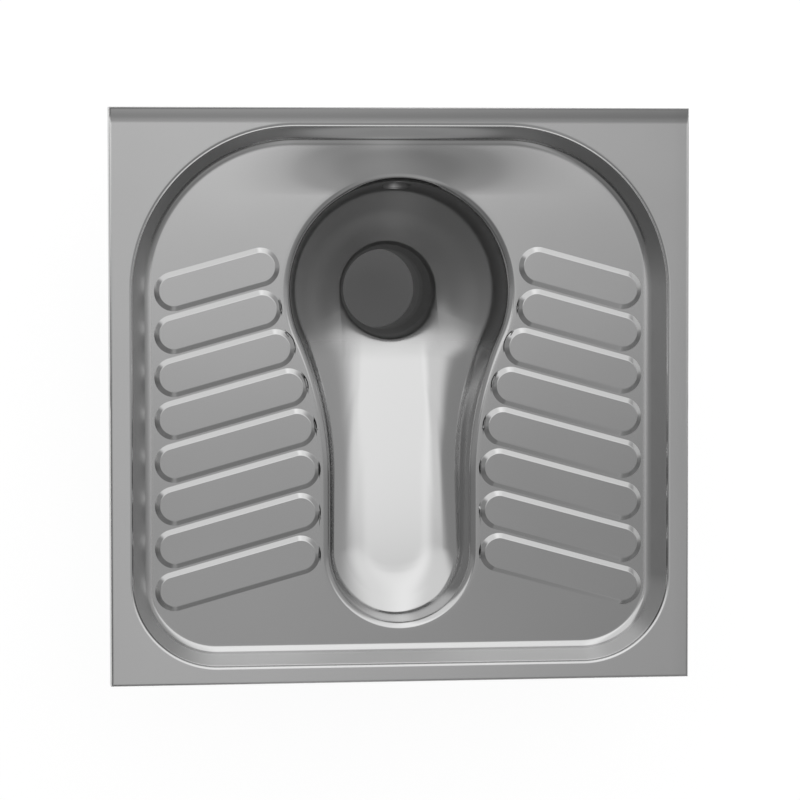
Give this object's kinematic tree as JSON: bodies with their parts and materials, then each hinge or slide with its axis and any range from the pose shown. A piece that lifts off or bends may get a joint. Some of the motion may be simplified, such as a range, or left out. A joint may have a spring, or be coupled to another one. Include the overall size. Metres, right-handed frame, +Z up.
{
  "type": "squat toilet",
  "caption": "Pressed stainless steel squat toilet pan with raised treads, keyhole bowl, flush inlet, outlet spigot and screw-adjusted levelling feet.",
  "frame": {"origin": "on the floor that the feet stand on, under the middle of the tray", "axes": "+X to the user's right when facing the front, +Y towards the rear (the round outlet end), +Z up"},
  "size_m": [0.6, 0.59, 0.23],
  "materials": {
    "satin_steel": "satin polished stainless steel",
    "mill_steel": "dull mill finish stainless steel",
    "zinc_steel": "zinc plated steel",
    "black_rubber": "matt moulded rubber",
    "grey_nylon": "matt moulded nylon",
    "bitumen_sheet": "embossed bitumen sheet"
  },
  "bodies": {
    "pan": {"tray": "satin_steel", "bowl": "satin_steel", "outlet_spigot": "mill_steel", "outlet_seal": "black_rubber", "flush_inlet": "mill_steel", "flush_connector": "black_rubber", "clip_band": "mill_steel", "clip_screw": "zinc_steel", "left_rail": "mill_steel", "right_rail": "mill_steel", "front_left_bracket": "zinc_steel", "front_right_bracket": "zinc_steel", "rear_left_bracket": "zinc_steel", "rear_right_bracket": "zinc_steel", "weld_nuts": "zinc_steel", "lock_nuts": "zinc_steel", "front_left_anchor": "zinc_steel", "front_right_anchor": "zinc_steel", "rear_left_anchor": "zinc_steel", "rear_right_anchor": "zinc_steel", "front_left_damper": "bitumen_sheet", "front_right_damper": "bitumen_sheet", "rear_left_damper": "bitumen_sheet", "rear_right_damper": "bitumen_sheet", "earth_tab": "mill_steel", "earth_bolt": "zinc_steel", "earth_washers": "zinc_steel", "earth_nut": "zinc_steel"},
    "front_left_foot": {"front_left_stud": "zinc_steel", "front_left_plate": "grey_nylon", "front_left_sole": "black_rubber"},
    "front_right_foot": {"front_right_stud": "zinc_steel", "front_right_plate": "grey_nylon", "front_right_sole": "black_rubber"},
    "rear_left_foot": {"rear_left_stud": "zinc_steel", "rear_left_plate": "grey_nylon", "rear_left_sole": "black_rubber"},
    "rear_right_foot": {"rear_right_stud": "zinc_steel", "rear_right_plate": "grey_nylon", "rear_right_sole": "black_rubber"}
  },
  "joints": [
    {"name": "front_left_foot_height", "type": "slide", "parent": "pan", "child": "front_left_foot", "axis": [0, 0, -1], "range_m": [-0.015, 0.018]},
    {"name": "front_right_foot_height", "type": "slide", "parent": "pan", "child": "front_right_foot", "axis": [0, 0, -1], "range_m": [-0.015, 0.018]},
    {"name": "rear_left_foot_height", "type": "slide", "parent": "pan", "child": "rear_left_foot", "axis": [0, 0, -1], "range_m": [-0.015, 0.018]},
    {"name": "rear_right_foot_height", "type": "slide", "parent": "pan", "child": "rear_right_foot", "axis": [0, 0, -1], "range_m": [-0.015, 0.018]}
  ]
}
